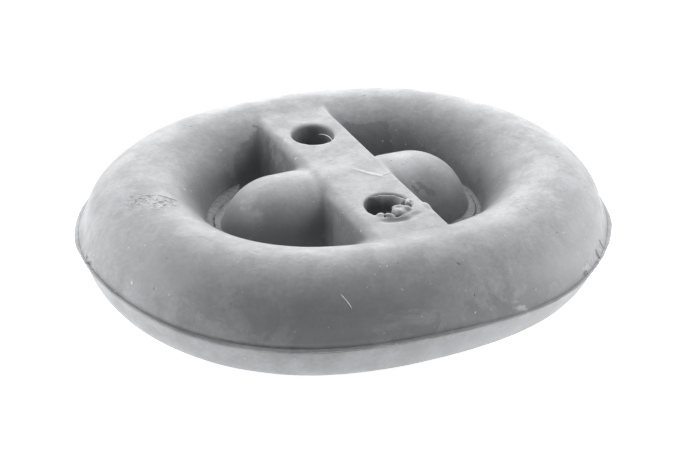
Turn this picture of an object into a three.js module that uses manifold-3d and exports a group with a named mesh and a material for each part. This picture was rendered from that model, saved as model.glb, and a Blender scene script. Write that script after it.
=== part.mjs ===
// Exhaust hanger rubber: an oval ring with a cross bar that carries the two hook holes, and
// two bump stops that reach from the bar towards the ends of the ring. It is pressed from
// solid rubber in one shot between two mould halves, so it is a single body.
//
// Millimetres. X runs the long way of the ring, Y along the bar, Z up. The origin is the
// middle of the bar, on the plane where the mould halves part.

import * as THREE from 'three';
import { LoftGeometry } from 'three/addons/geometries/LoftGeometry.js';
import { mergeVertices } from 'three/addons/utils/BufferGeometryUtils.js';
import Module from 'manifold-3d';

const wasm = await Module();
wasm.setup();

// Ring: the parting edge is an oval of four arcs, two ends and two flatter sides
const ringLength = 84;
const ringWidth = 72;
const ringSideRadius = 60;
const ringTubeWidth = 20.5;
const ringHeight = 18;

// Flanks of the ring and of the bump stops lean in from the parting plane by this angle
const flankDraft = THREE.MathUtils.degToRad(22.5);

// Cross bar: flat faces above and below, flanks that lean much less than the ring's
const barFlatWidth = 12;
const barHeight = 17;
const barDraft = THREE.MathUtils.degToRad(8);
const barEdgeRadius = 1.5;

// Hook holes through the bar
const hookHoleDiameter = 7;
const hookHoleSpacing = 26;

// Bump stops: round-ended, lying along X, almost flush with the bar's flat faces
const stopWidth = 19;
const stopHeight = 16.8;
const stopTravel = 0.6;

// Flash squeezed out between the mould halves, round the outside of the ring
const lipReach = 0.4;
const lipRootThickness = 0.5;
const lipEdgeThickness = 0.25;

// Torn skin of flash that bridged the gap between each stop and the ring
const skinWidth = 13;
const skinThickness = 0.6;
const skinTear = 0.2;

// Fineness of the round faces
const ringStations = 84;
const crownSteps = 7;
const stopSteps = 32;
const holeSteps = 32;
const edgeSteps = 2;

// A deep enough overlap for solids that are joined, and for cutters that pass right through
const overlap = 1;

const ringHalfLength = ringLength / 2;
const ringHalfWidth = ringWidth / 2;
const tubeHalfWidth = ringTubeWidth / 2;
const ringInnerEnd = ringHalfLength - ringTubeWidth;
const stopHalfWidth = stopWidth / 2;
const stopTip = ringInnerEnd - stopTravel;
const stopRoundCentre = stopTip - stopHalfWidth;

// Turns a closed three.js geometry into a solid that can be joined and cut. Faces that
// shrink to nothing, as at the poles of a lathe, are dropped.
function solid(geometry) {
  const bare = new THREE.BufferGeometry();
  bare.setAttribute('position', geometry.attributes.position);
  bare.setIndex(geometry.index);
  const merged = mergeVertices(bare, 1e-4);
  const corners = merged.index.array;
  const kept = [];
  for (let i = 0; i < corners.length; i += 3) {
    const [a, b, c] = [corners[i], corners[i + 1], corners[i + 2]];
    if (a !== b && b !== c && c !== a) kept.push(a, b, c);
  }
  return new wasm.Manifold(new wasm.Mesh({
    numProp: 3,
    vertProperties: new Float32Array(merged.attributes.position.array),
    triVerts: new Uint32Array(kept),
  }));
}

function geometryOf(body) {
  const { vertProperties, triVerts } = body.getMesh();
  const geometry = new THREE.BufferGeometry();
  geometry.setAttribute('position', new THREE.BufferAttribute(vertProperties, 3));
  geometry.setIndex(new THREE.BufferAttribute(triVerts, 1));
  geometry.computeVertexNormals();
  return geometry;
}

// A quarter of a moulded section: from the parting edge up a leaning flank, which runs
// tangent into a round crown, to the crown's highest point.
function quarterSection(halfWidth, halfHeight) {
  const cos = Math.cos(flankDraft);
  const sin = Math.sin(flankDraft);
  const crownRadius = (halfWidth * cos - halfHeight * sin) / (1 - sin);
  const crownCentre = halfHeight - crownRadius;
  const points = [new THREE.Vector2(halfWidth, 0)];
  for (let i = 0; i <= crownSteps; i++) {
    const angle = THREE.MathUtils.lerp(flankDraft, Math.PI / 2, i / crownSteps);
    points.push(new THREE.Vector2(
      crownRadius * Math.cos(angle),
      crownCentre + crownRadius * Math.sin(angle),
    ));
  }
  return points;
}

const mirroredAcross = (points) => points.map((p) => new THREE.Vector2(-p.x, p.y)).reverse();
const mirroredBelow = (points) => points.map((p) => new THREE.Vector2(p.x, -p.y)).reverse();

// The whole section as a closed outline, counterclockwise from its right-hand parting edge
function fullSection(halfWidth, halfHeight) {
  const quarter = quarterSection(halfWidth, halfHeight);
  const above = [...quarter, ...mirroredAcross(quarter.slice(0, -1))];
  return [...above, ...mirroredBelow(above.slice(1, -1))];
}

// The ring's section, with the lip of flash standing out of its outer parting edge
function ringSection() {
  const [edge, ...rest] = fullSection(tubeHalfWidth, ringHeight / 2);
  const rootInset = (lipRootThickness / 2) * Math.tan(flankDraft);
  const lip = [
    new THREE.Vector2(edge.x - rootInset, -lipRootThickness / 2),
    new THREE.Vector2(edge.x + lipReach, -lipEdgeThickness / 2),
    new THREE.Vector2(edge.x + lipReach, lipEdgeThickness / 2),
    new THREE.Vector2(edge.x - rootInset, lipRootThickness / 2),
  ];
  return [...lip, ...rest];
}

// A point of the ring's oval, moved inwards by inset, where its outward normal turns by
// angle from the X axis. The end arcs stand on centres along the long way and the side
// arcs on centres along the short way, and they share a tangent where they meet.
function ovalPoint(angle, inset) {
  const lengthwise = ringHalfLength >= ringHalfWidth;
  const long = Math.max(ringHalfLength, ringHalfWidth);
  const short = Math.min(ringHalfLength, ringHalfWidth);
  const endRadius = (2 * ringSideRadius * short - long ** 2 - short ** 2)
    / (2 * (ringSideRadius - long));
  const normal = new THREE.Vector2(Math.cos(angle), Math.sin(angle));
  const along = lengthwise ? normal.x : normal.y;
  const across = lengthwise ? normal.y : normal.x;
  const endCentre = long - endRadius;
  const sideCentre = ringSideRadius - short;
  const onEnd = Math.abs(along) * sideCentre >= Math.abs(across) * endCentre;
  const centreAlong = onEnd ? Math.sign(along) * endCentre : 0;
  const centreAcross = onEnd ? 0 : -Math.sign(across) * sideCentre;
  const centre = lengthwise
    ? new THREE.Vector2(centreAlong, centreAcross)
    : new THREE.Vector2(centreAcross, centreAlong);
  const radius = (onEnd ? endRadius : ringSideRadius) - inset;
  return centre.addScaledVector(normal, radius);
}

// Ring: its section carried once round the oval, upright and square to it all the way. It
// goes clockwise seen from above, so that the section's order leaves the faces outwards.
function ring() {
  const outline = ringSection();
  const sections = [];
  for (let i = 0; i <= ringStations; i++) {
    const angle = -((i % ringStations) / ringStations) * Math.PI * 2;
    sections.push(outline.map((p) => {
      const place = ovalPoint(angle, tubeHalfWidth - p.x);
      return new THREE.Vector3(place.x, place.y, p.y);
    }));
  }
  return solid(new LoftGeometry(sections));
}

// Cross bar: a flat-faced profile with soft edges, pushed through along Y. Its ends stop
// on the middle line of the ring, inside the ring's rubber.
function bar() {
  const halfFlat = barFlatWidth / 2;
  const halfHeight = barHeight / 2;
  const halfMiddle = halfFlat + halfHeight * Math.tan(barDraft);
  const edgeX = halfFlat - (barEdgeRadius * (1 - Math.sin(barDraft))) / Math.cos(barDraft);
  const edgeZ = halfHeight - barEdgeRadius;
  const quarterTurn = Math.PI / 2;
  const profile = new THREE.Shape();
  profile.moveTo(halfMiddle, 0);
  profile.absarc(edgeX, edgeZ, barEdgeRadius, barDraft, quarterTurn, false);
  profile.absarc(-edgeX, edgeZ, barEdgeRadius, quarterTurn, Math.PI - barDraft, false);
  profile.lineTo(-halfMiddle, 0);
  profile.absarc(-edgeX, -edgeZ, barEdgeRadius, Math.PI + barDraft, 3 * quarterTurn, false);
  profile.absarc(edgeX, -edgeZ, barEdgeRadius, 3 * quarterTurn, 4 * quarterTurn - barDraft, false);
  profile.closePath();
  const length = ringWidth - ringTubeWidth;
  const geometry = new THREE.ExtrudeGeometry(profile, {
    depth: length,
    bevelEnabled: false,
    curveSegments: edgeSteps,
  });
  geometry.rotateX(quarterTurn);
  geometry.translate(0, length / 2, 0);
  return solid(geometry);
}

// Bump stop towards +X: the moulded section pushed along X, and turned about Z at its tip
function stop() {
  const halfHeight = stopHeight / 2;
  const quarterTurn = Math.PI / 2;
  const body = new THREE.ExtrudeGeometry(
    new THREE.Shape(fullSection(stopHalfWidth, halfHeight)),
    { depth: stopRoundCentre, bevelEnabled: false },
  );
  body.rotateX(quarterTurn);
  body.rotateZ(quarterTurn);
  const quarter = quarterSection(stopHalfWidth, halfHeight);
  const profile = [...mirroredBelow(quarter), ...quarter.slice(1)];
  const nose = new THREE.LatheGeometry(profile, stopSteps);
  nose.rotateX(quarterTurn);
  nose.translate(stopRoundCentre, 0, 0);
  return solid(body).add(solid(nose));
}

function upright(radius, height, steps) {
  const geometry = new THREE.CylinderGeometry(radius, radius, height, steps);
  geometry.rotateX(Math.PI / 2);
  return geometry;
}

// Torn skin between the tip of the stop towards +X and the ring: a thin plate on the
// parting plane, split by a tear that runs round the tip and crosses the middle of the gap
function tornSkin() {
  const start = stopRoundCentre;
  const end = ringInnerEnd + overlap;
  const plate = new THREE.BoxGeometry(end - start, skinWidth, skinThickness);
  plate.translate((start + end) / 2, 0, 0);
  const tearRadius = stopHalfWidth + stopTravel / 2;
  const tearInner = upright(tearRadius - skinTear / 2, 2 * skinThickness, stopSteps);
  const tearOuter = upright(tearRadius + skinTear / 2, 2 * skinThickness, stopSteps);
  tearInner.translate(stopRoundCentre, 0, 0);
  tearOuter.translate(stopRoundCentre, 0, 0);
  const whole = solid(plate);
  return whole.intersect(solid(tearInner)).add(whole.subtract(solid(tearOuter)));
}

function hookHole(y) {
  const geometry = upright(hookHoleDiameter / 2, barHeight + 2 * overlap, holeSteps);
  geometry.translate(0, y, 0);
  return solid(geometry);
}

const endFeatures = stop().add(tornSkin());

const hangerRubber = new THREE.Mesh(
  geometryOf(
    ring()
      .add(bar())
      .add(endFeatures)
      .add(endFeatures.rotate([0, 0, 180]))
      .subtract(hookHole(hookHoleSpacing / 2))
      .subtract(hookHole(-hookHoleSpacing / 2)),
  ),
  new THREE.MeshStandardMaterial({ color: 0x9c9da0, roughness: 0.6, metalness: 0 }),
);
hangerRubber.name = 'hanger_rubber';

const part = new THREE.Group();
part.add(hangerRubber);

export default part;
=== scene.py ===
from math import cos, radians, sin

import bpy
import numpy as np
from mathutils import Euler, Matrix, Vector


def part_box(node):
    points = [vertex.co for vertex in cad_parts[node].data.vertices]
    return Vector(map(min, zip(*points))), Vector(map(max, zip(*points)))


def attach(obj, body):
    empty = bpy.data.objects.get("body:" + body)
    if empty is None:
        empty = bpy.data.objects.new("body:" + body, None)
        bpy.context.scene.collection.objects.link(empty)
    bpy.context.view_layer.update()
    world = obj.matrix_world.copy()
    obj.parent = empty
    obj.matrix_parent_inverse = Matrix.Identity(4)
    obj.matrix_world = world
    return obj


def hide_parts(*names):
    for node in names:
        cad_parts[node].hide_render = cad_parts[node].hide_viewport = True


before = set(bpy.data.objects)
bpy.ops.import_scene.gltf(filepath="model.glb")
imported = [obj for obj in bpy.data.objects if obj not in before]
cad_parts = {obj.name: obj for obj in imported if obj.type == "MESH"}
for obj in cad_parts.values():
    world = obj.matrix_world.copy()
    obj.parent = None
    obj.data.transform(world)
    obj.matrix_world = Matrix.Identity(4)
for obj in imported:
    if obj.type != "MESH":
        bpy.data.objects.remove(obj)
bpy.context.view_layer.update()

# Hanger body
# The one real piece: an oval ring, a cross bar with two hook holes, and two bump stops,
# pressed in one shot of black rubber between two mould halves that meet at height zero.
# It is one closed skin, because the rubber runs on through every corner without a joint.

body_low, body_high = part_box("hanger_rubber")
lip_reach = 0.0004
half_length = body_high.x - lip_reach
half_width = body_high.y - lip_reach
tube_half_height = body_high.z
tube_half_width = 0.01025
side_radius = 0.060
draft = radians(22.5)

stop_half_width = 0.0095
stop_half_height = 0.0084
stop_travel = 0.0006
stop_centre = half_length - 2 * tube_half_width - stop_travel - stop_half_width

# Beyond the bar the stops swell a little, the left one more than the right, which is shorter
left_stop_longer = 0.0001
right_stop_longer = -0.0001
left_stop_taller = 0.00050
right_stop_taller = 0.00028

bar_half_flat = 0.0060
bar_half_height = 0.0085
bar_draft = radians(8)
bar_half_length = half_width - tube_half_width
bar_worn_edge = 0.0017
bar_far_edge = 0.0010
bar_crisp_edge = 0.0005
bar_kink_start = -0.0139
bar_kink_length = 0.0006
bar_kink_step = 0.00030

near_hole_radius = 0.0035
far_hole_radius = 0.00335
soft_hole_rim = 0.0005
crisp_hole_rim = 0.00015
far_hole = (0.0001, 0.0133)
near_hole = (0.0006, -0.0126)

worn_corner_at_stop = 0.0008
crisp_corner_at_stop = 0.0002
corner_at_ring = 0.0014
crisp_corner_at_ring = 0.0004

# The lower mould half sat a little out of line with the upper one
lower_slip = (-0.00016, -0.00024)

end_radius = ((2 * side_radius * half_width - half_length**2 - half_width**2)
              / (2 * (side_radius - half_length)))
end_centre = half_length - end_radius
side_centre = side_radius - half_width


def moulded_section(offset, height, half_width, half_height):
    """Distance to a section that mirrors about the parting plane.

    A straight flank leans in by the draft angle from the parting edge and runs into a
    round crown. Beside the crown the distance is measured from the crown circle's centre,
    and beside the flank it is measured square to the flank.
    """
    lean, stand = np.sin(draft), np.cos(draft)
    crown_radius = (half_width * stand - half_height * lean) / (1 - lean)
    across = np.abs(offset)
    above = np.abs(height) - (half_height - crown_radius)
    crown = np.hypot(across, above) - crown_radius
    flank = across * stand + np.abs(height) * lean - half_width * stand
    return np.where(above * stand >= across * lean, crown, flank)


def faces_end(x, y):
    """Whether the nearest arc of the oval is an end arc, not a side arc."""
    return end_centre * (np.abs(y) + side_centre) < side_centre * np.abs(x)


def ring_offset(x, y):
    """How far outside the ring's middle line a point lies, seen from above.

    The line is an oval of four arcs, so the offset is the distance to the centre of the
    arc that the point faces, less that arc's radius.
    """
    from_end = np.hypot(np.abs(x) - end_centre, y) - (end_radius - tube_half_width)
    from_side = np.hypot(x, np.abs(y) + side_centre) - (side_radius - tube_half_width)
    return np.where(faces_end(x, y), from_end, from_side)


def ring_turn(x, y):
    """Direction in degrees from +X of the oval's outward normal nearest to a point."""
    end = faces_end(x, y)
    along = np.abs(x) - end_centre * end
    across = np.abs(y) + side_centre * ~end
    return np.degrees(np.arctan2(across * np.sign(y), along * np.sign(x))) % 360


def level_direction(turn):
    """Level vectors one long, at turning angles in degrees from +X."""
    return np.stack([np.cos(np.radians(turn)), np.sin(np.radians(turn)), 0 * turn], -1)


def ring_point(turn, inset):
    """Place and outward normal on the oval, moved inwards, for turning angles in degrees."""
    normal = level_direction(turn)
    end = np.abs(normal[:, 0]) * side_centre >= np.abs(normal[:, 1]) * end_centre
    centre = np.stack([np.sign(normal[:, 0]) * end_centre * end,
                       -np.sign(normal[:, 1]) * side_centre * ~end, 0 * turn], -1)
    radius = np.where(end, end_radius, side_radius) - inset
    return centre + radius[:, None] * normal, normal


def round_the_ring(turn, table, soften=4):
    """A value given in millimetres at some turning angles, carried round the ring.

    Straight lines between the table's entries, softened by the mean of three readings a
    few degrees apart. Returned in metres.
    """
    places, values = zip(*table)
    readings = [np.interp(turn + shift, places, values, period=360)
                for shift in (-soften, 0, soften)]
    return sum(readings) / 3 * 0.001


def round_join(a, b, radius):
    """Both solids, with a hollow round of the radius in the corner between them."""
    return (np.maximum(radius, np.minimum(a, b))
            - np.hypot(np.maximum(radius - a, 0), np.maximum(radius - b, 0)))


def round_meet(a, b, radius):
    """What both solids share, with its outer corner rounded to the radius."""
    return (np.minimum(-radius, np.maximum(a, b))
            + np.hypot(np.maximum(radius + a, 0), np.maximum(radius + b, 0)))


def ripple(x, y, z, wavelength, seed):
    """Uneven waves between about -1 and 1: the mean of plane waves in random directions."""
    rng = np.random.default_rng(seed)
    waves = 14
    directions = rng.normal(size=(waves, 3))
    directions /= np.linalg.norm(directions, axis=1)[:, None]
    lengths = wavelength * rng.uniform(0.7, 1.5, waves)
    phases = rng.uniform(0, 2 * np.pi, waves)
    total = 0
    for (dx, dy, dz), length, phase in zip(directions, lengths, phases):
        total = total + np.sin(2 * np.pi * (x * dx + y * dy + z * dz) / length + phase)
    return total / np.sqrt(waves)


def bar_field(x, y, z):
    """Flat faces above and below, leaning flanks, the left edges worn rounder than the right."""
    kink = np.clip((bar_kink_start - y) / bar_kink_length, 0, 1) * (x > 0)
    face = np.abs(z) - bar_half_height
    flank = ((np.abs(x) - bar_half_flat - bar_kink_step * kink) * np.cos(bar_draft)
             + (np.abs(z) - bar_half_height) * np.sin(bar_draft))
    far = np.clip((y - 0.010) / 0.006, 0, 1)
    left_edge = bar_worn_edge + (bar_far_edge - bar_worn_edge) * far
    edge = np.where(x < 0, left_edge, bar_crisp_edge)
    return np.maximum(round_meet(face, flank, edge), np.abs(y) - bar_half_length)


# Where the two mould halves met unevenly: turning angle round the ring and millimetres
groove_depths = [(168, 0), (176, 0.14), (190, 0.20), (205, 0.22), (218, 0.32), (240, 0.34),
                 (250, 0.22), (258, 0.08), (280, 0.10), (300, 0.14), (308, 0.0)]
groove_height = 0.00030
groove_half_width = 0.00022

# Where the flank stands back behind the lip of flash, which fills the outline there
setbacks = [(138, 0), (145, 0.55), (152, 0.75), (166, 0.75), (171, 0.35), (175, 0.0), (302, 0.0),
            (308, 0.35), (315, 0.66), (334, 0.74), (340, 0.42), (346, 0.0)]
setback_height = 0.0026
lip_root_height = 0.0010
lip_root_share = 0.75


def ring_field(x, y, z):
    """The moulded section round the oval, its lower half slipped sideways.

    Two bell-shaped dips in height are taken from the outer flank: a narrow groove just
    above the parting edge where the halves met badly, and a broad setback behind the lip.
    A narrower bell is given back to the setback, so the flank runs out into the lip's root.
    """
    below = z < 0
    offset = ring_offset(x - lower_slip[0] * below, y - lower_slip[1] * below)
    ring = moulded_section(offset, z, tube_half_width, tube_half_height)
    turn = ring_turn(x, y)
    outer = offset > 0
    groove = np.exp(-((z - groove_height) / groove_half_width) ** 2) * outer
    setback = (np.exp(-(z / setback_height) ** 2)
               - lip_root_share * np.exp(-(z / lip_root_height) ** 2)) * outer
    return (ring + groove * round_the_ring(turn, groove_depths)
            + setback * round_the_ring(turn, setbacks))


# Rubber torn up at the rim of the near hole, in millimetres: middle, half sizes, turn about
# Z in degrees. The crumbs are added, and then the dents are taken out round them.
rim_crumbs = [
    ((-1.75, -15.05, 8.25), (0.65, 0.60, 0.50), 15),
    ((-0.40, -15.50, 8.25), (0.85, 0.65, 0.52), -5),
    ((1.50, -14.95, 8.00), (1.25, 1.25, 0.80), 20),
    ((1.70, -13.95, 8.45), (0.95, 0.42, 0.42), -14),
    ((2.85, -14.55, 8.15), (0.80, 0.90, 0.65), 30),
    ((3.62, -13.10, 8.40), (0.40, 0.80, 0.42), -15),
]
rim_dents = [
    ((0.1, -17.05, 9.15), (3.0, 0.85, 1.25), -9),
    ((3.0, -16.75, 9.20), (1.5, 0.70, 0.95), 8),
]
edge_swelling = ((5.95, -14.9, 8.20), (0.35, 0.8, 0.40), 0)


def lump(x, y, z, shape):
    """Distance to an ellipsoid: its scaled radius less one, times its smallest half size."""
    (cx, cy, cz), sizes, turn = shape
    across, along = x * 1000 - cx, y * 1000 - cy
    c, s = cos(radians(turn)), sin(radians(turn))
    scaled = np.sqrt(((across * c + along * s) / sizes[0]) ** 2
                     + ((along * c - across * s) / sizes[1]) ** 2
                     + ((z * 1000 - cz) / sizes[2]) ** 2)
    return (scaled - 1) * min(sizes) * 0.001


def body_field(x, y, z):
    """Distance to the moulded body, less than zero inside it.

    Ring and stops carry the same moulded section, along an oval and along a short line.
    The bar joins them with hollow rounds, and the hook holes are taken out with soft rims.
    What would reach below the floor is cut off level, as the rubber rests flat there.
    """
    stop_end = stop_centre + np.where(x > 0, right_stop_longer, left_stop_longer)
    stop_offset = np.hypot(np.maximum(np.abs(x) - stop_end, 0), y)
    taller = (np.where(x > 0, right_stop_taller, left_stop_taller)
              * np.clip((np.abs(x) - bar_half_flat + 0.0005) / 0.002, 0, 1))
    stop = moulded_section(stop_offset, z, stop_half_width, stop_half_height + taller)
    worn = np.clip(0.5 - x / 0.006, 0, 1)
    corner = crisp_corner_at_stop + (worn_corner_at_stop - crisp_corner_at_stop) * worn
    body = round_join(bar_field(x, y, z), stop, corner)
    deep = np.clip((0.0083 - np.abs(z)) / 0.0030, 0, 1)
    corner = crisp_corner_at_ring + (corner_at_ring - crisp_corner_at_ring) * deep
    body = round_join(body, ring_field(x, y, z), corner)
    body = round_join(body, lump(x, y, z, edge_swelling), 0.0004)
    place = np.where(y > 0, far_hole[0], near_hole[0]), np.where(y > 0, far_hole[1], near_hole[1])
    radius = np.where(y > 0, far_hole_radius, near_hole_radius)
    hole = radius - np.hypot(x - place[0], y - place[1])
    behind_collar = (y < 0) & (y - near_hole[1] > -0.05 * near_hole_radius)
    body = round_meet(body, hole, np.where(behind_collar, crisp_hole_rim, soft_hole_rim))
    torn = (np.abs(x) < 0.008) & (y < -0.010) & (y > -0.021) & (z > 0.005)
    if torn.any():
        at = (x[torn], y[torn], z[torn])
        near = body[torn]
        rough = 0.00010 * ripple(*at, 0.0015, 5)
        for shape in rim_dents:
            near = round_meet(near, -lump(*at, shape), 0.0003)
        for shape in rim_crumbs:
            near = round_join(near, lump(*at, shape) + rough, 0.0001)
        body[torn] = near
    slow = ripple(x, y, z, 0.022, 1)
    quick = ripple(x, y, z, 0.005, 2)
    uneven = body + 0.00007 * slow + 0.000012 * quick + 0.00008
    return np.maximum(uneven, body_low.z - z)


def skin_of(field, xs, ys, zs):
    """The closed skin where a field is zero, as points and four-cornered faces.

    A box grid is laid over the solid. Each box that the skin runs through gets one point,
    the mean of the places where the skin crosses the box's edges, and each crossed edge
    gives the face that joins the four boxes round it.
    """
    lines = (xs, ys, zs)
    values = field(*np.meshgrid(xs, ys, zs, indexing="ij"))
    inside = values < 0
    boxes = tuple(n - 1 for n in values.shape)
    total = np.zeros(boxes + (3,))
    count = np.zeros(boxes)
    crossed = []
    for axis in range(3):
        start = [slice(None)] * 3
        stop = [slice(None)] * 3
        start[axis], stop[axis] = slice(0, -1), slice(1, None)
        first, last = values[tuple(start)], values[tuple(stop)]
        crosses = inside[tuple(start)] != inside[tuple(stop)]
        share = np.where(crosses, first / np.where(crosses, first - last, 1), 0)
        grid = list(np.meshgrid(*[line if i != axis else line[:-1]
                                  for i, line in enumerate(lines)], indexing="ij"))
        step_shape = [1, 1, 1]
        step_shape[axis] = -1
        grid[axis] = grid[axis] + share * np.diff(lines[axis]).reshape(step_shape)
        places = np.stack(grid, -1) * crosses[..., None]
        one, two = (axis + 1) % 3, (axis + 2) % 3
        for back_one in (0, 1):
            for back_two in (0, 1):
                part = [slice(None)] * 3
                part[one] = slice(back_one, back_one + boxes[one])
                part[two] = slice(back_two, back_two + boxes[two])
                total += places[tuple(part)]
                count += crosses[tuple(part)]
        crossed.append((crosses, inside[tuple(start)], one, two))
    used = count > 0
    number = np.full(boxes, -1)
    number[used] = np.arange(used.sum())
    faces = []
    for crosses, outwards, one, two in crossed:
        edge = np.argwhere(crosses)
        corners = []
        for back_one, back_two in ((1, 1), (0, 1), (0, 0), (1, 0)):
            box = edge.copy()
            box[:, one] -= back_one
            box[:, two] -= back_two
            corners.append(number[tuple(box.T)])
        quads = np.stack(corners, 1)
        turned = outwards[tuple(edge.T)]
        faces.append(np.where(turned[:, None], quads, quads[:, ::-1]))
    return total[used] / count[used][:, None], np.concatenate(faces)


def settle(points, faces, field, rounds=4, spreads=3):
    """Spreads the points evenly over the skin, then sets each one exactly on it.

    A point moves towards the mean of its neighbours, and then back along the field's
    slope by the field's value. Points on the parting plane stay at height zero.
    """
    parting = np.abs(points[:, 2]) < 0.00011
    points[parting, 2] = 0
    reach = 0.00002

    def onto_skin(p):
        value = field(*p.T)
        slope = np.stack([
            field(*(p + reach * np.eye(3)[i]).T) - field(*(p - reach * np.eye(3)[i]).T)
            for i in range(3)
        ], 1) / (2 * reach)
        slope[parting, 2] = 0
        steep = np.maximum((slope**2).sum(1), 0.25)
        return p - slope * (value / steep)[:, None]

    first, last = faces.ravel(), np.roll(faces, -1, 1).ravel()
    for _ in range(spreads):
        mean = np.zeros_like(points)
        for i in range(3):
            mean[:, i] = (np.bincount(first, points[last, i], len(points))
                          + np.bincount(last, points[first, i], len(points)))
        mean /= (np.bincount(first, minlength=len(points))
                 + np.bincount(last, minlength=len(points)))[:, None]
        mean[parting, 2] = 0
        points = onto_skin(points + 0.5 * (mean - points))
    for _ in range(rounds):
        points = onto_skin(points)
    return points


# Height of the parting line in millimetres round the ring: it wanders on the real one
parting_heights = [(130, 0), (165, 0), (172, 0.3), (178, 0.8), (190, 0.7), (200, 0.4),
                   (209, 0.1), (219, -0.45), (236, -0.55), (248, -0.45), (258, -0.15),
                   (269, 0), (277, -0.15), (284, -0.5), (296, -0.4), (310, 0)]


def parting_lift(points):
    """Points near the outer parting edge raised or lowered with the parting line.

    The lift fades out evenly with height, up to the crown, and inwards over the flank.
    """
    x, y, z = points.T
    share = np.clip(1 - np.abs(z) / tube_half_height, 0, 1)
    share = share * np.clip(ring_offset(x, y) / (0.5 * tube_half_width), 0, 1)
    lifted = points.copy()
    lifted[:, 2] += share * round_the_ring(ring_turn(x, y), parting_heights)
    return lifted


def piece(name, points, faces):
    """A smooth-shaded mesh object at the origin, with its place in its points."""
    mesh = bpy.data.meshes.new(name)
    mesh.from_pydata(np.asarray(points).tolist(), [], [list(face) for face in faces])
    mesh.shade_smooth()
    made = bpy.data.objects.new(name, mesh)
    bpy.context.scene.collection.objects.link(made)
    return made


def graded(low, high, step, fine_low, fine_high, fine_step):
    """Grid lines with a step, and closer together between fine_low and fine_high."""
    return np.concatenate([np.arange(low, fine_low, step),
                           np.arange(fine_low, fine_high, fine_step),
                           np.arange(fine_high, high, step)])


grid_step = 0.00078
fine_step = 0.00027
margin = 0.0012
xs = graded(body_low.x - margin, body_high.x + margin, grid_step, -0.0073, 0.0070, fine_step)
ys = graded(body_low.y - margin, body_high.y + margin, grid_step, -0.0185, -0.0090, fine_step)
levels = np.array([0.10, 0.28, 0.50, 0.80, 1.25, 1.85, 2.5, 3.2, 3.9, 4.6, 5.3, 6.0, 6.6, 7.2,
                   7.6, 7.9, 8.2, 8.5, 8.8, 9.1, 9.5, 10.1]) * 0.001
zs = np.concatenate([-levels[::-1], levels])
points, faces = skin_of(body_field, xs, ys, zs)
points = parting_lift(settle(points, faces, body_field))
body = piece("rubber_body", points, faces.tolist())
turn = ring_turn(points[:, 0], points[:, 1])
offset = ring_offset(points[:, 0], points[:, 1])
section_turn = np.arctan2(points[:, 2], offset)
flow = np.stack([np.radians(turn) * end_radius, section_turn * tube_half_width, offset], 1)
body.data.attributes.new("flow", "FLOAT_VECTOR", "POINT").data.foreach_set("vector", flow.ravel())


def carry(made, name, values):
    """Gives each point of a piece its own value, for the finish to read by name."""
    store = made.data.attributes.new(name, "FLOAT", "POINT")
    store.data.foreach_set("value", np.broadcast_to(values, len(made.data.vertices)).copy())


def eased(share):
    """A share of 0 to 1 that leaves both ends smoothly: 3 squares less 2 cubes."""
    held = np.clip(share, 0, 1)
    return held * held * (3 - 2 * held)


on_ring = np.clip((offset + 1.02 * tube_half_width) / 0.001, 0, 1)
carry(body, "on_ring", on_ring)
# Painted shade inside the ring below the height of its crown: on the inner flank, the bar, the
# stops and the pockets between them, with less of it low down
painted_hollow_shade = eased((-0.0018 - offset) / 0.0055) * eased((0.0086 - points[:, 2]) / 0.0042)
deepest = eased((0.0036 - points[:, 2]) / 0.0040)
carry(body, "painted_hollow_shade", painted_hollow_shade * (1 - 0.55 * deepest))
on_bar_face = (eased((points[:, 2] - 0.0081) / 0.0003)
               * eased((0.0064 - np.abs(points[:, 0])) / 0.0004))
towards_far_end = np.clip(0.35 + points[:, 1] / 0.025, 0, 1)
carry(body, "on_bar_face", on_bar_face * (1 - on_ring) * towards_far_end)

# Painted light and shade round the ring, lighter where the share is more than 0 and darker where
# it is less: turning angle, its half width, angle round the section, its half width, share
painted_light_and_shade_places = [(248, 23, 20, 34, -0.50), (265, 26, 78, 38, -0.26), (303, 19, 24, 34, 0.50),
                (180, 34, 140, 20, -0.62), (322, 34, 140, 18, -0.42), (200, 18, 50, 25, 0.16),
                (152, 14, 154, 18, -0.50), (70, 40, 158, 16, 0.10), (70, 34, 90, 30, -0.17),
                (272, 14, 116, 16, -0.16), (250, 60, -28, 22, 0.24), (310, 24, -28, 22, 0.20),
                (207, 12, 34, 16, 0.34), (276, 18, -18, 14, 0.42), (291, 12, 26, 14, 0.20)]
# Painted light on the stops beside the bar, more of it low down, carried with the ring's painted
# light and shade
beside_bar = eased((np.abs(points[:, 0]) - 0.0060) / 0.0015) * (1 - on_ring)
lit_stops = (0.14 + 0.14 * eased((0.0045 - points[:, 2]) / 0.003)) * beside_bar
carry(body, "painted_light_and_shade", lit_stops + on_ring * sum(
    share * np.exp(-(((turn - at + 180) % 360 - 180) / wide) ** 2
                   - ((np.degrees(section_turn) - round_at) / high) ** 2)
    for at, wide, round_at, high, share in painted_light_and_shade_places))


def wire(tree, kind, inputs=None, **settings):
    """A shader node with its settings; an input takes a value or another node's socket."""
    made = tree.nodes.new(kind)
    for name, value in settings.items():
        setattr(made, name, value)
    for socket, value in (inputs or {}).items():
        if isinstance(value, bpy.types.NodeSocket):
            tree.links.new(value, made.inputs[socket])
        else:
            made.inputs[socket].default_value = value
    return made


def effect(name, takes, gives):
    """An empty shader node group with its sockets: the group, its inputs, its output node."""
    group = bpy.data.node_groups.new(name, "ShaderNodeTree")
    for socket, kind in takes.items():
        group.interface.new_socket(socket, in_out="INPUT", socket_type=kind)
    for socket, kind in gives.items():
        group.interface.new_socket(socket, in_out="OUTPUT", socket_type=kind)
    return group, group.nodes.new("NodeGroupInput").outputs, group.nodes.new("NodeGroupOutput")


number, vector = "NodeSocketFloat", "NodeSocketVector"

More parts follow.
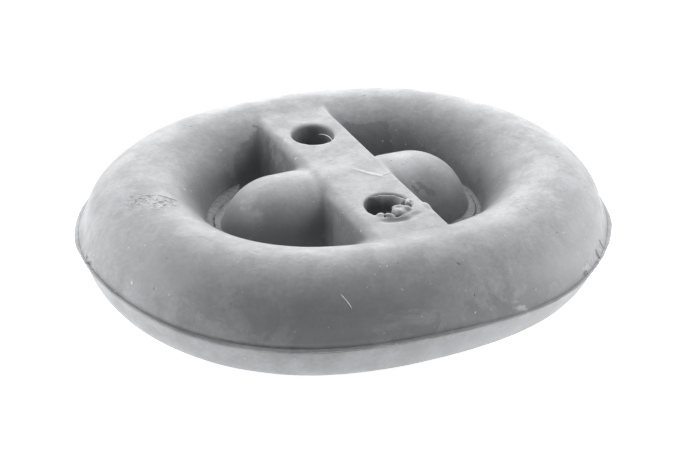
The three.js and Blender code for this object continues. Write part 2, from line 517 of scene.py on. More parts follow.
# Small uneven spots: one in some of the cells of a Voronoi pattern, 1 at its middle
spots, given, result = effect(
    "scattered_spots",
    {"Place": vector, "Scale": number, "Radius": number, "Share": number}, {"Mask": number})
wobble = wire(spots, "ShaderNodeTexNoise", {"Vector": given["Place"], "Scale": 1900.0})
off_centre = wire(spots, "ShaderNodeVectorMath", {0: wobble.outputs["Color"], 1: (0.5, 0.5, 0.5)},
                  operation="SUBTRACT")
pushed = wire(spots, "ShaderNodeVectorMath",
              {0: off_centre.outputs["Vector"], 1: (0.0006, 0.0006, 0.0006),
               2: given["Place"]}, operation="MULTIPLY_ADD")
cells = wire(spots, "ShaderNodeTexVoronoi",
             {"Vector": pushed.outputs["Vector"], "Scale": given["Scale"]})
dice = wire(spots, "ShaderNodeSeparateColor", {"Color": cells.outputs["Color"]})
chosen = wire(spots, "ShaderNodeMath", {0: dice.outputs["Red"], 1: given["Share"]},
              operation="LESS_THAN")
size = wire(spots, "ShaderNodeMapRange", {"Value": dice.outputs["Green"], 3: 0.35, 4: 1.0})
radius = wire(spots, "ShaderNodeMath", {0: size.outputs["Result"], 1: given["Radius"]},
              operation="MULTIPLY")
round_spot = wire(spots, "ShaderNodeMapRange",
                  {"Value": cells.outputs["Distance"], 2: radius.outputs[0], 3: 1.0, 4: 0.0},
                  interpolation_type="SMOOTHSTEP")
kept = wire(spots, "ShaderNodeMath", {0: round_spot.outputs["Result"], 1: chosen.outputs[0]},
            operation="MULTIPLY")
spots.links.new(kept.outputs[0], result.inputs["Mask"])

# A line between two places on the surface, 1 along its middle
line_mark, given, result = effect(
    "line_mark", {"Place": vector, "Start": vector, "End": vector, "Width": number,
                  "Core": number}, {"Mask": number})
length = wire(line_mark, "ShaderNodeVectorMath", {0: given["End"], 1: given["Start"]},
              operation="SUBTRACT")
reach = wire(line_mark, "ShaderNodeVectorMath",
             {0: given["Place"], 1: given["Start"]}, operation="SUBTRACT")
shadow = wire(line_mark, "ShaderNodeVectorMath",
              {0: reach.outputs["Vector"], 1: length.outputs["Vector"]}, operation="DOT_PRODUCT")
square = wire(line_mark, "ShaderNodeVectorMath",
              {0: length.outputs["Vector"], 1: length.outputs["Vector"]}, operation="DOT_PRODUCT")
along = wire(line_mark, "ShaderNodeMath",
             {0: shadow.outputs["Value"], 1: square.outputs["Value"]},
             operation="DIVIDE", use_clamp=True)
nearest = wire(line_mark, "ShaderNodeVectorMath",
               {0: length.outputs["Vector"], "Scale": along.outputs[0]}, operation="SCALE")
apart = wire(line_mark, "ShaderNodeVectorMath",
             {0: reach.outputs["Vector"], 1: nearest.outputs["Vector"]}, operation="DISTANCE")
core = wire(line_mark, "ShaderNodeMath", {0: given["Width"], 1: given["Core"]},
            operation="MULTIPLY")
band = wire(line_mark, "ShaderNodeMapRange",
            {"Value": apart.outputs["Value"], 1: core.outputs[0], 2: given["Width"],
             3: 1.0, 4: 0.0},
            interpolation_type="SMOOTHSTEP")
line_mark.links.new(band.outputs["Result"], result.inputs["Mask"])

# A wavy border across the surface: 1 on the side that the Towards direction points to
border, given, result = effect(
    "wavy_border", {"Place": vector, "Towards": vector, "Limit": number}, {"Mask": number})
depth = wire(border, "ShaderNodeVectorMath", {0: given["Place"], 1: given["Towards"]},
             operation="DOT_PRODUCT")
beyond = wire(border, "ShaderNodeMath", {0: depth.outputs["Value"], 1: given["Limit"]},
              operation="SUBTRACT")
side = wire(border, "ShaderNodeMapRange",
            {"Value": beyond.outputs[0], 1: -0.00012, 2: 0.00012, 3: 0.0, 4: 1.0},
            interpolation_type="SMOOTHSTEP")
border.links.new(side.outputs["Result"], result.inputs["Mask"])


def material(name):
    """A new material, its node tree and its Principled shader."""
    made = bpy.data.materials.new(name)
    made.use_nodes = True
    return made, made.node_tree, made.node_tree.nodes["Principled BSDF"]


rubber, tree, shader = material("rubber")
place = wire(tree, "ShaderNodeTexCoord").outputs["Object"]


def cloud(scale, detail=4.0, roughness=0.55, distortion=0.0, where=None):
    """A noise value of about 0 to 1 at a scale per metre."""
    made = wire(tree, "ShaderNodeTexNoise",
                {"Vector": where or place, "Scale": scale, "Detail": detail, "Roughness": roughness,
                 "Distortion": distortion})
    return made.outputs["Fac"]


def ramp(value, low, high, to_low=0.0, to_high=1.0):
    """A value stretched smoothly from one range to another, and held at its ends."""
    made = wire(tree, "ShaderNodeMapRange",
                {"Value": value, 1: low, 2: high, 3: to_low, 4: to_high},
                interpolation_type="SMOOTHSTEP")
    return made.outputs["Result"]


def both(a, b, operation="MULTIPLY"):
    """Two values put together by one operation, a product unless another is named."""
    return wire(tree, "ShaderNodeMath", {0: a, 1: b}, operation=operation).outputs[0]


def blend(a, b, share):
    """Colour b over colour a by a share."""
    return wire(tree, "ShaderNodeMix", {0: share, 6: a, 7: b}, data_type="RGBA").outputs[2]


def layered(paint, layers):
    """Colours laid over the paint one by one, each by its mask times its share."""
    for colour, mask, share in layers:
        paint = blend(paint, colour, both(mask, share))
    return paint


def spot(scale, radius, share):
    """The spots effect: cells per metre, radius as a share of a cell, share of cells used."""
    return wire(tree, "ShaderNodeGroup",
                {"Place": place, "Scale": scale, "Radius": radius, "Share": share},
                node_tree=spots).outputs["Mask"]


def strayed_place(stray):
    """The place pushed aside by noise, by at most about the stray in metres."""
    noise = wire(tree, "ShaderNodeTexNoise", {"Vector": place, "Scale": 700.0, "Detail": 3.0})
    centred = wire(tree, "ShaderNodeVectorMath",
                   {0: noise.outputs["Color"], 1: (0.5, 0.5, 0.5)}, operation="SUBTRACT")
    return wire(tree, "ShaderNodeVectorMath",
                {0: centred.outputs["Vector"], 1: (stray, stray, stray), 2: place},
                operation="MULTIPLY_ADD").outputs["Vector"]


def marks(lines, at, core=0.3):
    """The strongest of several line effects, each its start, end and width in millimetres."""
    strongest = None
    for start, end, width in lines:
        mask = wire(tree, "ShaderNodeGroup",
                    {"Place": at, "Start": [0.001 * c for c in start],
                     "End": [0.001 * c for c in end], "Width": 0.001 * width, "Core": core},
                    node_tree=line_mark).outputs["Mask"]
        strongest = mask if strongest is None else both(strongest, mask, "MAXIMUM")
    return strongest


def past(towards, limit):
    """The border effect, with its limit in millimetres along the direction."""
    return wire(tree, "ShaderNodeGroup",
                {"Place": ragged, "Towards": towards, "Limit": 0.001 * limit},
                node_tree=border).outputs["Mask"]


# The rubber's own tones; the dark one also serves for painted shade, and the chalky one for painted
# light
bare_rubber = (0.228, 0.233, 0.243, 1)
chalk_bloom_and_light = (0.500, 0.508, 0.527, 1)
dark_rubber_and_shade = (0.140, 0.143, 0.150, 1)
white_dust = (0.80, 0.80, 0.80, 1)

flow_at = wire(tree, "ShaderNodeAttribute", attribute_name="flow").outputs["Vector"]
on_ring_at, painted_hollow_shade_at, painted_light_and_shade_at, bar_face_at, torn_at = [
    wire(tree, "ShaderNodeAttribute", attribute_name=name).outputs["Fac"]
    for name in ("on_ring", "painted_hollow_shade", "painted_light_and_shade", "on_bar_face", "torn")]
streak_place = wire(tree, "ShaderNodeVectorMath", {0: flow_at, 1: (45, 1100, 0)},
                    operation="MULTIPLY").outputs["Vector"]
streaks = ramp(cloud(1.0, 3.0, where=streak_place), 0.38, 0.62)
broad = ramp(cloud(48.0, 6.0, 0.6, 0.4), 0.35, 0.65)
patches = ramp(cloud(105.0, 9.0, 0.68, 0.6), 0.50, 0.56)
blotches = ramp(cloud(300.0, 5.0, 0.6), 0.35, 0.65)
fine = ramp(cloud(1500.0, 3.0), 0.3, 0.7)

# Chalky bloom and painted light: lighter on what faces up, as bloom and as painted light from
# above, lighter on the underside as painted light from the floor, and lighter towards both ends of
# the ring
facing_up = wire(tree, "ShaderNodeSeparateXYZ",
                 {0: wire(tree, "ShaderNodeTexCoord").outputs["Normal"]}).outputs["Z"]
bloom_and_painted_light = both(ramp(facing_up, 0.30, 0.95), ramp(facing_up, -0.15, -0.45), "ADD")
along_x = wire(tree, "ShaderNodeSeparateXYZ", {0: place}).outputs["X"]
at_ends = ramp(both(along_x, 0.0, "ABSOLUTE"), 0.024, 0.040)
bloom_and_painted_light = both(bloom_and_painted_light, both(at_ends, 0.75), "MAXIMUM")
bloom_and_painted_light = both(both(bloom_and_painted_light, 0.72), both(broad, 0.28), "ADD")
paint = blend(bare_rubber, chalk_bloom_and_light, bloom_and_painted_light)
paint = layered(paint, [(chalk_bloom_and_light, patches, 0.34), (dark_rubber_and_shade, blotches, 0.24),
                        (chalk_bloom_and_light, both(streaks, on_ring_at), 0.04),
                        (dark_rubber_and_shade, fine, 0.17), (chalk_bloom_and_light, bar_face_at, 0.10)])
# Painted light and shade: the chalky tone where the share is above 0, the dark tone where it is
# below
paint = blend(paint, chalk_bloom_and_light, both(painted_light_and_shade_at, 0.0, "MAXIMUM"))
paint = blend(paint, dark_rubber_and_shade, both(both(painted_light_and_shade_at, -1.0), 0.0, "MAXIMUM"))
# Painted shade in the hollows: inside the ring, over the torn skins and down in the near hole
paint = blend(paint, dark_rubber_and_shade, both(painted_hollow_shade_at, 0.46))

# Marks of its own, each where it is on the real part
wavy = strayed_place(0.0007)
ragged = strayed_place(0.0024)
# The wrinkles and the net of cracks on the left crown are painted dark: the bare rubber's own tone,
# with painted shade in the creases
wrinkles = marks([((-32.4, 2.6, 8.9), (-30.2, 2.2, 8.9), 0.22),
                  ((-30.2, 2.2, 8.9), (-27.5, 1.2, 8.1), 0.22)], wavy)
wrinkles = both(wrinkles, ramp(cloud(800.0), 0.34, 0.44))
crack_net = wire(tree, "ShaderNodeTexVoronoi", {"Vector": wavy, "Scale": 950.0},
                 feature="DISTANCE_TO_EDGE").outputs["Distance"]
crackled = both(marks([((-33.2, 1.6, 8.8), (-29.4, -0.2, 8.7), 2.6)], ragged),
                ramp(cloud(520.0), 0.38, 0.52))
crackle = both(ramp(crack_net, 0.05, 0.15, 1.0, 0.0), crackled)
wrinkles = both(wrinkles, both(crackle, 0.8), "MAXIMUM")
creases = both(marks([((0.9, -0.3, 8.8), (3.8, -3.9, 8.5), 0.62)], wavy, 0.1),
               marks([((3.8, -3.9, 8.5), (5.4, -3.3, 8.5), 0.25),
                      ((8.6, -1.4, 8.5), (12.6, 1.0, 8.5), 0.22)], wavy), "MAXIMUM")
stains = marks([((9.9, -6.0, 6.2), (11.3, -6.7, 5.3), 0.95),
                ((8.1, -5.9, 6.3), (8.7, -6.2, 6.0), 0.60)], ragged, 0.5)
scuffs = marks([((-33.2, 0.6, 9.0), (-31.0, -1.2, 8.8), 1.8),
                ((31.4, -24.0, 0.7), (25.4, -29.2, 0.5), 1.2),
                ((-41.5, 2.4, 1.0), (-41.5, -2.0, 1.0), 1.0)], ragged)
scuffs = both(scuffs, both(torn_at, crackled, "MAXIMUM"), "MAXIMUM")
grain = cloud(1300.0)
scuffs = both(scuffs, ramp(grain, 0.42, 0.56))
faint_scuffs = both(marks([((-17.6, 0.2, 6.1), (-16.4, -3.6, 6.2), 0.9)], ragged, 0.1),
                    ramp(grain, 0.42, 0.56))
scratches = marks([((-40.6, -5.1, 2.7), (-39.2, -5.0, 5.2), 0.10),
                   ((23.2, -3.9, 5.3), (22.6, -8.2, 5.9), 0.14),
                   ((22.4, -13.0, 6.6), (24.0, -13.6, 7.0), 0.12),
                   ((-24.2, -18.5, 8.9), (-22.7, -20.0, 8.9), 0.14),
                   ((9.4, -31.0, 5.4), (10.4, -30.2, 5.9), 0.12)], wavy)
tears = marks([((31.7, -23.9, 0.1), (31.4, -23.6, 1.2), 0.45),
               ((29.6, -26.0, 0.1), (29.3, -25.7, 1.1), 0.50),
               ((27.0, -28.0, 0.1), (26.4, -28.0, 0.8), 0.40),
               ((25.6, -29.3, 0.2), (24.9, -29.6, 0.3), 0.34),
               ((-41.5, 1.8, 1.0), (-41.6, 1.3, 1.3), 0.34),
               ((-41.6, 0.2, 0.9), (-41.6, -0.6, 1.3), 0.34)], wavy, 0.4)
nicks = marks([((-1.5, 3.7, 8.5), (-1.0, 3.6, 8.5), 0.22),
               ((-3.8, -11.0, 8.5), (-3.6, -10.8, 8.5), 0.22),
               ((-37.1, -9.9, 6.2), (-37.0, -9.8, 6.3), 0.20),
               ((-34.4, -13.0, 7.3), (-34.3, -13.0, 7.3), 0.17),
               ((-37.0, -14.9, 3.7), (-36.9, -14.8, 3.8), 0.22),
               ((18.5, -24.3, 8.4), (18.7, -24.1, 8.4), 0.24)], wavy)
flecks = marks([((-19.6, 8.4, 0.7), (-19.2, 7.5, 0.7), 0.30),
                ((-20.0, 6.5, 0.7), (-19.8, 6.3, 0.7), 0.22),
                ((-39.0, -11.2, 3.0), (-38.9, -11.0, 3.1), 0.24),
                ((-5.4, 7.3, 7.9), (-5.2, 7.3, 7.9), 0.22),
                ((20.9, -23.5, 8.3), (21.1, -23.3, 8.3), 0.24)], wavy)
crumbs = both(marks([((10.5, -34.6, 0.9), (12.3, -34.7, -0.2), 0.75)], ragged),
              ramp(grain, 0.40, 0.55, 0.0, 0.45))
flecks = both(flecks, crumbs, "MAXIMUM")

# Painted shade low in the far pockets inside the ring, beyond wavy borders: beside the bar on its
# right and its left
far_right_pocket_shade = both(both(past((-1, 0, 0), -15.0), past((0, 0, -1), -6.5)),
                 both(past((0, 1, 0), 10.0), past((1, 0, 0), 6.0)))
far_left_pocket_shade = both(both(past((0.36, 0, -1), -9.9), past((1, 0, 0), -12.4)),
                  both(past((0, 1, 0), 10.0), past((-1, 0, 0), 6.2)))
pocket_shade = both(both(far_right_pocket_shade, far_left_pocket_shade, "MAXIMUM"),
              both(past((0, -1, 0), -22.0), past((0, 0, 1), 0.0)))

# On the right stop a pale patch beside the bar and a dark one down the near flank
pale_patch = marks([((8.0, -0.6, 8.6), (10.6, 0.2, 8.6), 3.0)], ragged, 0.1)
dark_patch = marks([((16.5, -2.0, 6.5), (13.5, -6.5, 4.5), 6.0)], ragged, 0.1)
paint = layered(paint, [(white_dust, creases, 0.45),
                        (dark_rubber_and_shade, both(wrinkles, tears, "MAXIMUM"), 0.85),
                        (dark_rubber_and_shade, stains, 0.60), (dark_rubber_and_shade, pocket_shade, 0.42),
                        (chalk_bloom_and_light, pale_patch, 0.5), (dark_rubber_and_shade, dark_patch, 0.30),
                        (chalk_bloom_and_light, scuffs, 0.75), (chalk_bloom_and_light, faint_scuffs, 0.42),
                        (white_dust, scratches, 0.4), (dark_rubber_and_shade, nicks, 0.60),
                        (white_dust, flecks, 0.85)])

pits = both(spot(165.0, 0.070, 0.70), spot(330.0, 0.080, 0.55), "MAXIMUM")
pinholes = spot(520.0, 0.12, 0.40)
dust = both(spot(230.0, 0.050, 0.50), spot(600.0, 0.14, 0.60), "MAXIMUM")
grit = spot(760.0, 0.15, 0.30)
paint = layered(paint, [(dark_rubber_and_shade, pits, 0.75), (dark_rubber_and_shade, pinholes, 0.65),
                        (white_dust, dust, 0.80), (white_dust, grit, 0.6)])
tree.links.new(paint, shader.inputs["Base Color"])

tree.links.new(both(ramp(blotches, 0, 1, 0.42, 0.52), both(patches, 0.08), "ADD"),
               shader.inputs["Roughness"])
shader.inputs["Specular IOR Level"].default_value = 0.32
shader.inputs["Sheen Weight"].default_value = 0.22
shader.inputs["Sheen Roughness"].default_value = 0.45

height = both(cloud(2600.0, 3.0), 0.012)
for form, rise in [(cloud(520.0, 4.0), 0.045), (streaks, 0.002), (patches, 0.012), (pits, -0.09),
                   (pinholes, -0.05), (dust, 0.05), (wrinkles, -0.12), (tears, -0.25),
                   (creases, 0.10), (scuffs, 0.06)]:
    height = both(height, both(form, rise), "ADD")
bump = wire(tree, "ShaderNodeBump", {"Height": height, "Distance": 0.001, "Strength": 1.0})
tree.links.new(bump.outputs["Normal"], shader.inputs["Normal"])


def moulded(made):
    """Finish for everything that was pressed from the rubber."""
    made.data.materials.append(rubber)
    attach(made, "root")
    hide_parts("hanger_rubber")
    return made


moulded(body)

# Flash lip
# Rubber that squeezed out between the mould halves round the ring: a thin plate on the
# parting plane, a millimetre wide where it was left on and torn off short elsewhere.


def jag(place, wavelength, seed):
    """Ragged noise between about -1 and 1 along one direction: sawteeth of uneven length."""
    rng = np.random.default_rng(seed)
    total = 0
    for part in range(5):
        length = wavelength * rng.uniform(0.5, 1.8)
        wave = (place / length + rng.uniform()) % 1
        total = total + (2 * np.abs(2 * wave - 1) - 1) / (1 + part)
    return total / 1.6


def carried_faces(rows, columns, loop=False):
    """Faces of a closed profile carried along a path: a quad for each step along and round.

    The last row joins the first in a loop, and otherwise both ends are capped.
    """
    number_of = np.arange(rows * columns).reshape(rows, columns)
    if loop:
        number_of = np.vstack([number_of, number_of[:1]])
    beside = np.roll(number_of, -1, 1)
    quads = np.stack([number_of[:-1], number_of[1:], beside[1:], beside[:-1]], -1)
    caps = [] if loop else [number_of[0].tolist(), number_of[-1][::-1].tolist()]
    return quads.reshape(-1, 4).tolist() + caps


def thin_plate(path, outwards, reach, thickness, lift, depth, loop=False):
    """A closed plate of flash: a profile of thirteen points carried along a path.

    At each point of the path the profile starts inside the rubber at the depth, runs out
    by the reach and comes back below. The thickness falls with the square of the way out,
    to a quarter, and the height rises with the same square by the lift. The way out is
    the distance over the evened reach, which is the mean of the 25 nearest places. The
    profile's inner points stand by the evened reach too, and only the outer ones follow
    a ragged edge, so it leaves the face smooth. An open path is capped at its ends.
    """
    run = np.array([-1, 0.12, 0.35, 0.58, 0.78, 0.93])
    out = np.concatenate([run, [1], run[::-1]])
    face = np.repeat([0.5, 0, -0.5], [len(run), 1, len(run)])
    window = np.pad(reach, 12, mode="wrap" if loop else "edge")
    evened = np.convolve(window, np.full(25, 1 / 25), "valid")[:, None]
    crowding = np.clip(evened / reach[:, None], 0.4, 2.5)
    outside = reach[:, None] * (1 - (1 - np.maximum(out, 0)) ** crowding)
    away = np.where(out < 0, -depth, outside)
    way = np.clip(away / evened, 0, 1) ** 2
    up = thickness[:, None] * face * (1 - 0.75 * way) + lift[:, None] * way
    points = path[:, None] + outwards[:, None] * away[..., None]
    points[..., 2] += up
    return points.reshape(-1, 3), carried_faces(*away.shape, loop)


def outward_faces(points, faces):
    """The faces, all turned over if the volume that they enclose comes out less than zero."""
    fans = [(face[0], face[i], face[i + 1]) for face in faces for i in range(1, len(face) - 1)]
    a, b, c = points[np.array(fans)].transpose(1, 0, 2)
    return faces if (a * np.cross(b, c)).sum() > 0 else [face[::-1] for face in faces]


lip_reaches = [(0, 0.15), (90, 0.15), (128, 0.15), (140, 0.20), (150, 0.25), (165, 0.25),
               (170, 0.15), (174, 0.03), (180, 0.08), (205, 0.12), (225, 0.16), (250, 0.10),
               (262, 0.08), (278, 0.10), (282, 0.04), (286, 0.22), (298, 0.25), (304, 0.15),
               (308, 0.10), (313, 0.10), (320, 0.14), (327, 0.25), (331, 0.42), (335, 0.30),
               (341, 0.12), (350, 0.15)]
lip_nicks = [(281.8, 0.5, 0.9), (305.5, 0.5, 0.55), (311.0, 0.7, 0.45), (316.0, 0.5, 0.50),
             (318.2, 0.35, 0.3), (173.5, 0.7, 1.0), (171.0, 0.3, 0.5)]
crumbled_places = [(313, 8), (178, 4)]
torn_wide_at, torn_wide_half_turn = 327, 13
lip_thickness = 0.00030
lip_root_depth = 0.0005
least_reach = 0.00002

turn = np.arange(0, 360, 0.2)
path, outwards = ring_point(turn, 0)
path[:, 2] = round_the_ring(turn, parting_heights)
path[:, :2] += np.array(lower_slip) / 2
setback = (1 - lip_root_share) * round_the_ring(turn, setbacks)
reach = round_the_ring(turn, lip_reaches, soften=1)
torn_off = 1 - sum(cut * np.exp(-((turn - at) / width) ** 2) for at, width, cut in lip_nicks)
torn_wide = np.exp(-((turn - torn_wide_at) / torn_wide_half_turn) ** 2)
uneven_edge = 1 + (0.10 * jag(turn, 2.3, 11) + 0.05 * jag(turn, 0.7, 12)) * (1 - 0.6 * torn_wide)
reach = (reach + setback) * np.clip(torn_off, 0, 1) * uneven_edge - setback
path = path - setback[:, None] * outwards
thickness = lip_thickness + 0.14 * (reach + setback) + lip_thickness * torn_wide
lift = -0.06 * (reach + setback) + 0.00008 * jag(turn, 9.0, 13)
crumbled = sum(np.exp(-((turn - at) / width) ** 2) for at, width in crumbled_places)
reach = reach + 0.00010 * jag(turn, 1.3, 14) * crumbled
lift = lift + 0.00022 * jag(turn, 1.9, 15) * crumbled
reach = np.maximum(reach + setback, least_reach)
points, faces = thin_plate(path, outwards, reach, thickness, lift, lip_root_depth, loop=True)
moulded(piece("flash_lip", points, outward_faces(points, faces)))

# Torn skins
# Flash that bridged the gap between each bump stop and the ring on the parting plane, and
# split when the part was first stretched: a strip stays on the stop and another on the ring.

skin_thickness = 0.00045
skin_root_depth = 0.0006
skin_roughness = 0.000015
skin_end_share = 0.06
widest_stop_skin = 0.0021
stop_skin_half_turn = 82
stop_skin_fade = 14
ring_skin_fade = 9
crack_half_width = 0.00016

# For each end: its side along X, how much longer its stop is, height of the skins above the
# parting plane, share of the gap where the tear runs, half turn of the ring's skin, how much
# painted shade darkens the stop's and the ring's skin, and the seed of the torn edges
skin_ends = [("right", 1, right_stop_longer, 0.0005, 0.66, 52, 0.10, 0.40, 21),
             ("left", -1, left_stop_longer, 0.0012, 0.58, 70, 0.50, 0.65, 31)]


def crack_share(angle, middle, seed):
    """How far across the gap the tear runs, as a share, by angle round the stop's nose."""
    return (middle + 0.08 * jag(angle, 31.0, seed) + 0.07 * jag(angle, 9.0, seed + 1)
            + 0.05 * jag(angle, 5.3, seed + 2))


def rough_skin(name, points, faces, seed, skin_shade):
    """A plate of torn flash, its face raised and sunk a little by uneven waves."""
    points[:, 2] += skin_roughness * ripple(*points.T, 0.0016, seed)
    made = moulded(piece(name, points, outward_faces(points, faces)))
    # Painted shade over the whole skin, which lies down between stop and ring, and more painted
    # shade by the given share
    carry(made, "painted_hollow_shade", 1.0)
    carry(made, "painted_light_and_shade", -skin_shade)
    carry(made, "torn", 0.25)


for end_name, side, longer, height, tear, half_turn, stop_skin_shade, ring_skin_shade, seed in skin_ends:
    nose_centre = stop_centre + longer
    lean_in = height * np.tan(draft)
    foot_radius = stop_half_width - lean_in
    angle = np.arange(-stop_skin_half_turn, stop_skin_half_turn + 0.5, 1.0)
    outwards = level_direction(angle) * [side, 1, 1]
    path = foot_radius * outwards + np.array([side * nose_centre, 0, height])
    gap = -ring_offset(path[:, 0], path[:, 1]) - tube_half_width + lean_in
    fade = np.clip((stop_skin_half_turn - np.abs(angle)) / stop_skin_fade, skin_end_share, 1)
    reach = gap * crack_share(angle, tear, seed) - crack_half_width
    reach = np.minimum(reach, widest_stop_skin) * fade
    reach = np.maximum(reach + 0.00007 * jag(angle, 4.0, seed + 4), 0.0001)
    thickness = skin_thickness * (0.6 + 0.4 * fade)
    lift = 0.00028 * jag(angle, 47.0, seed + 6) + 0.00012
    points, faces = thin_plate(path, outwards, reach, thickness, lift, skin_root_depth)
    rough_skin(f"skin_on_{end_name}_stop", points, faces, seed + 9, stop_skin_shade)

    turn = np.arange(-half_turn, half_turn + 0.25, 0.5)
    path, outwards = ring_point(turn if side > 0 else turn + 180,
                                2 * tube_half_width - lean_in)
    path[:, 2] = height
    gap = np.hypot(path[:, 0] - side * nose_centre, path[:, 1]) - foot_radius
    angle = np.degrees(np.arctan2(path[:, 1], side * path[:, 0] - nose_centre))
    fade = np.clip((half_turn - np.abs(turn)) / ring_skin_fade, skin_end_share, 1)
    reach = (gap * (1 - crack_share(angle, tear, seed)) + 2.2 * crack_half_width) * fade
    reach = np.maximum(reach + 0.00003 * jag(angle, 4.6, seed + 5), 0.00012)
    thickness = 0 * turn + skin_thickness
    lift = -0.0002 + 0.00012 * jag(angle, 39.0, seed + 3)
    points, faces = thin_plate(path, -outwards, reach, thickness, lift, skin_root_depth)
    rough_skin(f"skin_on_{end_name}_ring", points, faces, seed + 8, ring_skin_shade)

# Hole collar
# A collar of thin rubber inside the far side of the near hole, torn round its top. It has
# come a little away from the hole's wall, so a thin dark slit shows behind it.

# Its section, from the torn top down inside the hole and up again within the wall: radius
# and height in millimetres, and how much of the tear reaches each place
collar_section = [(3.29, 8.34, 1), (3.20, 8.42, 1), (3.02, 8.36, 0.7), (2.75, 8.05, 0.2),
                  (2.50, 7.55, 0), (2.38, 6.90, 0), (2.42, 6.20, 0), (3.40, 5.20, 0),
                  (3.72, 6.00, 0), (3.62, 7.30, 0), (3.34, 7.90, 0.4)]
collar_start, collar_end = -4, 129
collar_root_depth = 0.00012
collar_tear = 0.00006

angle = np.arange(collar_start, collar_end + 1, 1.0)
outwards = level_direction(angle)
fade = eased(np.minimum((angle - collar_start) / 18, (collar_end - angle) / 48))[:, None]
wall_radius = near_hole_radius + collar_root_depth
section_radius, section_height, torn_top = np.array(collar_section).T
radius = wall_radius + (section_radius * 0.001 - wall_radius) * fade
points = outwards[:, None] * radius[..., None]
points[..., :2] += near_hole
points[..., 2] = section_height * 0.001 + collar_tear * jag(angle, 21.0, 41)[:, None] * torn_top
points = points.reshape(-1, 3)
collar = piece("hole_collar", points, outward_faces(points, carried_faces(*radius.shape)))
# Painted shade inside the near hole, darker further below its rim
carry(moulded(collar), "painted_hollow_shade", eased((0.0083 - points[:, 2]) / 0.0016))

# Lint
# Two fine pale fibres that cling to the rubber: one across the rim of the far hole, one on
# the front of the ring. Each is a thin tube along a smooth bent line.


def fibre(name, bends, radius):
    """A closed tube along a curve through its bends: a six-sided ring at each place.

    The curve is the sum of the bends weighted by the terms of (1 - t + t) to the power of
    their number less one, and the tube thins out towards both ends.
    """
    bends = np.array(bends) * 0.001
    order = len(bends) - 1
    t = np.linspace(0, 1, 40)[:, None]
    powers = np.arange(order + 1)
    choose = np.cumprod(np.concatenate([[1], (order - powers[:-1]) / (powers[:-1] + 1)]))
    line = (choose * t**powers * (1 - t) ** (order - powers)) @ bends
    ahead = np.gradient(line, axis=0)
    ahead /= np.linalg.norm(ahead, axis=1)[:, None]
    aside = np.cross(ahead, (0.3, 0.1, 1.0))
    aside /= np.linalg.norm(aside, axis=1)[:, None]
    upward = np.cross(ahead, aside)
    round_it = np.arange(6) / 6 * 2 * np.pi
    thick = radius * (0.35 + 0.65 * np.sin(np.pi * t) ** 0.5)
    points = (line[:, None] + (thick * np.cos(round_it))[..., None] * aside[:, None]
              + (thick * np.sin(round_it))[..., None] * upward[:, None])
    faces = carried_faces(*points.shape[:2])
    points = points.reshape(-1, 3)
    made = piece(name, points, outward_faces(points, faces))
    made.data.materials.append(lint)
    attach(made, "root")


lint, tree, shader = material("lint")
place = wire(tree, "ShaderNodeTexCoord").outputs["Object"]
tree.links.new(blend((0.62, 0.62, 0.62, 1), (0.92, 0.92, 0.92, 1), ramp(cloud(1400.0), 0.3, 0.7)),
               shader.inputs["Base Color"])
shader.inputs["Roughness"].default_value = 0.8
fibre("lint_far_hole", [(1.35, 13.7, 8.0), (1.65, 12.2, 8.9), (2.05, 10.4, 8.8), (1.85, 9.3, 9.0),
                        (1.20, 8.5, 8.52)], 0.00006)
fibre("lint_front", [(-15.30, -29.90, 6.42), (-14.95, -30.55, 6.12), (-14.55, -31.20, 5.55),
                     (-14.25, -31.85, 4.80)], 0.00006)

# Studio
# A plain white floor that runs on past the frame and glows a little, and a ring of soft
# panels behind and beside the object. Nothing is lit from the camera's side.

floor_half = 2.0
floor = piece("floor", [(x * floor_half, y * floor_half, body_low.z)
                        for x, y in ((-1, -1), (1, -1), (1, 1), (-1, 1))], [(0, 1, 2, 3)])


def seen_strength(tree, for_light, for_sight):
    """A strength that is for_sight for camera, mirror and see-through rays."""
    path = wire(tree, "ShaderNodeLightPath").outputs
    seen = path["Is Camera Ray"]
    for ray in ("Is Glossy Ray", "Is Transmission Ray"):
        seen = wire(tree, "ShaderNodeMath", {0: seen, 1: path[ray]}, operation="MAXIMUM").outputs[0]
    return wire(tree, "ShaderNodeMapRange",
                {"Value": seen, 3: for_light, 4: for_sight}).outputs["Result"]


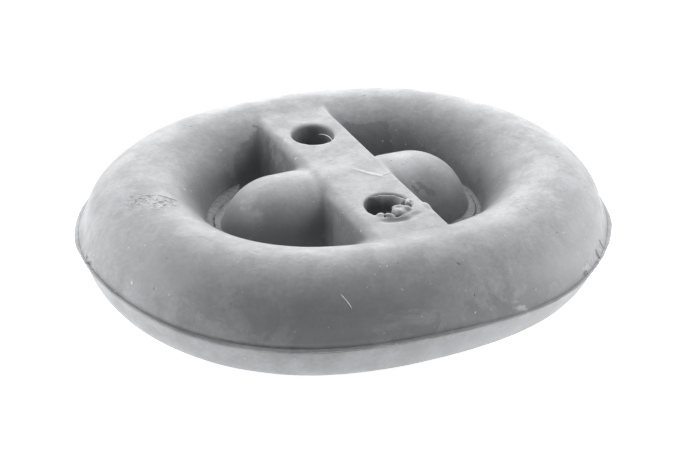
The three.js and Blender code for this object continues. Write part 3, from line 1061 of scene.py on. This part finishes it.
floor_paint, tree, shader = material("floor_paint")
shader.inputs["Base Color"].default_value = (0.9, 0.9, 0.9, 1)
shader.inputs["Roughness"].default_value = 0.9
shader.inputs["Emission Color"].default_value = (1, 1, 1, 1)
tree.links.new(seen_strength(tree, 0.58, 0.70), shader.inputs["Emission Strength"])
floor.data.materials.append(floor_paint)


def soft_panel(name, turn, rise, watts):
    """A square soft lamp aimed at the object from a compass turn and a rise in degrees."""
    distance = 0.8
    lamp = bpy.data.lights.new(name, "AREA")
    lamp.size = 0.6
    lamp.energy = watts
    made = bpy.data.objects.new(name, lamp)
    flat = cos(radians(rise))
    place = Vector((flat * cos(radians(turn)), flat * sin(radians(turn)), sin(radians(rise))))
    made.location = distance * place
    made.rotation_euler = (-place).to_track_quat("-Z", "Y").to_euler()
    bpy.context.scene.collection.objects.link(made)


soft_panel("back_high", 64, 55, 2.4)
soft_panel("back_low", 64, 20, 3.2)
soft_panel("left_low", 154, 20, 4.1)
soft_panel("right_low", 334, 20, 3.7)
soft_panel("back_left", 109, 30, 2.2)
soft_panel("back_right", 19, 30, 1.8)

world = bpy.data.worlds.new("room")
bpy.context.scene.world = world
world.use_nodes = True
background = world.node_tree.nodes["Background"]
background.inputs["Color"].default_value = (1, 1, 1, 1)
world.node_tree.links.new(seen_strength(world.node_tree, 0.0, 1.0), background.inputs["Strength"])

# Camera
# It stands where the photographer stood: low in front of the object, a little to its left,
# with a long lens and a slight roll.

look_azimuth = radians(-26.23)
look_elevation = radians(29.06)
look_roll = radians(1.88)
look_distance = 0.27895
look_right = -0.00058
look_up = 0.00236
lens_mm = 92.0

camera_data = bpy.data.cameras.new("camera")
camera_data.sensor_width = 36
camera_data.lens = lens_mm
camera_data.clip_start = 0.01
camera = bpy.data.objects.new("camera", camera_data)
turned = (Euler((np.pi / 2 - look_elevation, 0, look_azimuth)).to_matrix()
          @ Matrix.Rotation(look_roll, 3, "Z"))
stand = turned @ Vector((-look_right, -look_up, look_distance))
camera.matrix_world = Matrix.Translation(stand) @ turned.to_4x4()
bpy.context.scene.collection.objects.link(camera)
bpy.context.scene.camera = camera
bpy.context.scene.view_settings.view_transform = "Standard"
